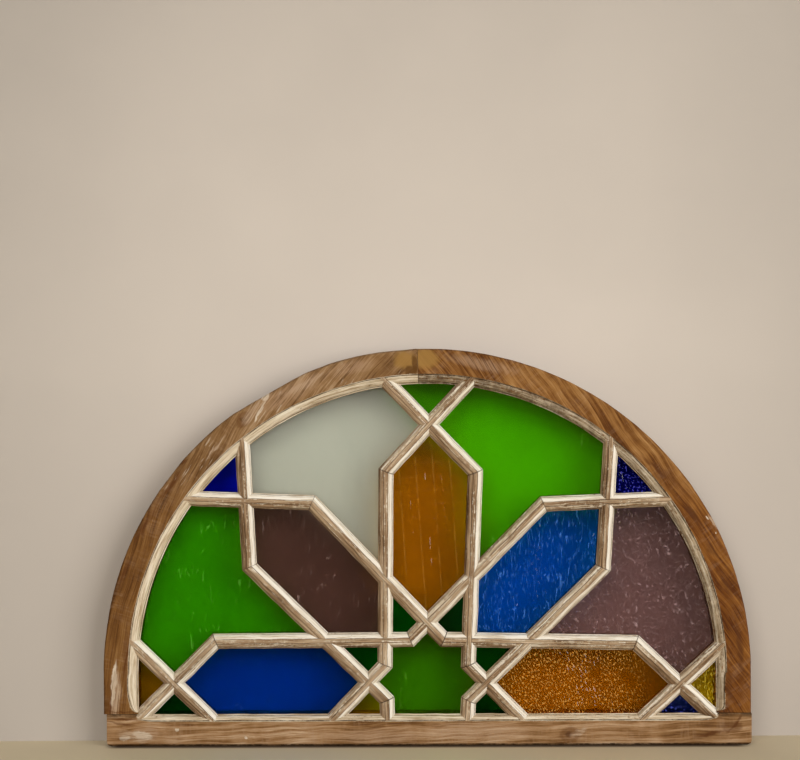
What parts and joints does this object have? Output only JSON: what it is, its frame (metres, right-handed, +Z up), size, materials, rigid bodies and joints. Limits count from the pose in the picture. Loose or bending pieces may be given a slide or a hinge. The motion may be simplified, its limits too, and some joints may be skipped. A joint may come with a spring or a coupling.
{
  "type": "stained glass fanlight",
  "caption": "Half-round wooden fanlight: bent frame on a bottom rail, moulded lattice bars in an eight-fold figure, coloured glass panes in grooves.",
  "frame": {"origin": "middle of the underside of the bottom rail, half way through its depth", "axes": "+X to the right along the bottom rail, +Y through the window towards its plain back, +Z up; the moulded front faces -Y"},
  "size_m": [0.8, 0.044, 0.4898],
  "materials": {
    "frame_wood": "stripped pine with worn stain",
    "bar_wood": "pine with worn off-white paint",
    "glass_green": "coloured sheet glass",
    "glass_bright_green": "coloured sheet glass",
    "glass_dark_green": "dark coloured sheet glass",
    "glass_amber": "coloured glass with a pressed relief",
    "glass_brown": "coloured sheet glass with fine streaks",
    "glass_blue": "coloured sheet glass",
    "glass_dark_blue": "dark coloured sheet glass",
    "glass_clear": "frosted clear sheet glass",
    "glass_purple": "coloured glass with a wavy relief",
    "glass_brown_amber": "coloured sheet glass",
    "glass_yellow": "coloured glass with a rippled relief",
    "glass_olive": "coloured sheet glass"
  },
  "bodies": {
    "root": {"arch_left": "frame_wood", "arch_right": "frame_wood", "bottom_rail": "frame_wood", "crown_left_1": "bar_wood", "crown_left_2": "bar_wood", "crown_left_3": "bar_wood", "crown_right_1": "bar_wood", "crown_right_2": "bar_wood", "crown_right_3": "bar_wood", "foot_left": "bar_wood", "foot_right": "bar_wood", "pane_crown": "glass_green", "pane_field_left": "glass_green", "pane_field_right": "glass_purple", "pane_field_upper_left": "glass_clear", "pane_field_upper_right": "glass_bright_green", "pane_kite_left": "glass_dark_green", "pane_kite_right": "glass_dark_green", "pane_leg_left": "glass_brown_amber", "pane_leg_right": "glass_yellow", "pane_petal_left": "glass_blue", "pane_petal_right": "glass_amber", "pane_petal_top": "glass_amber", "pane_petal_upper_left": "glass_brown", "pane_petal_upper_right": "glass_blue", "pane_quad_left": "glass_dark_green", "pane_quad_right": "glass_dark_green", "pane_rail_left": "glass_dark_green", "pane_rail_right": "glass_dark_blue", "pane_shoulder_left": "glass_dark_blue", "pane_shoulder_right": "glass_dark_blue", "pane_star": "glass_green", "pane_under_left": "glass_olive", "pane_under_right": "glass_dark_green", "shoulder_left_1": "bar_wood", "shoulder_left_2": "bar_wood", "shoulder_left_3": "bar_wood", "shoulder_right_1": "bar_wood", "shoulder_right_2": "bar_wood", "shoulder_right_3": "bar_wood", "sweep_left_1": "bar_wood", "sweep_left_2": "bar_wood", "sweep_left_3": "bar_wood", "sweep_left_4": "bar_wood", "sweep_right_1": "bar_wood", "sweep_right_2": "bar_wood", "sweep_right_3": "bar_wood", "sweep_right_4": "bar_wood"}
  },
  "joints": []
}
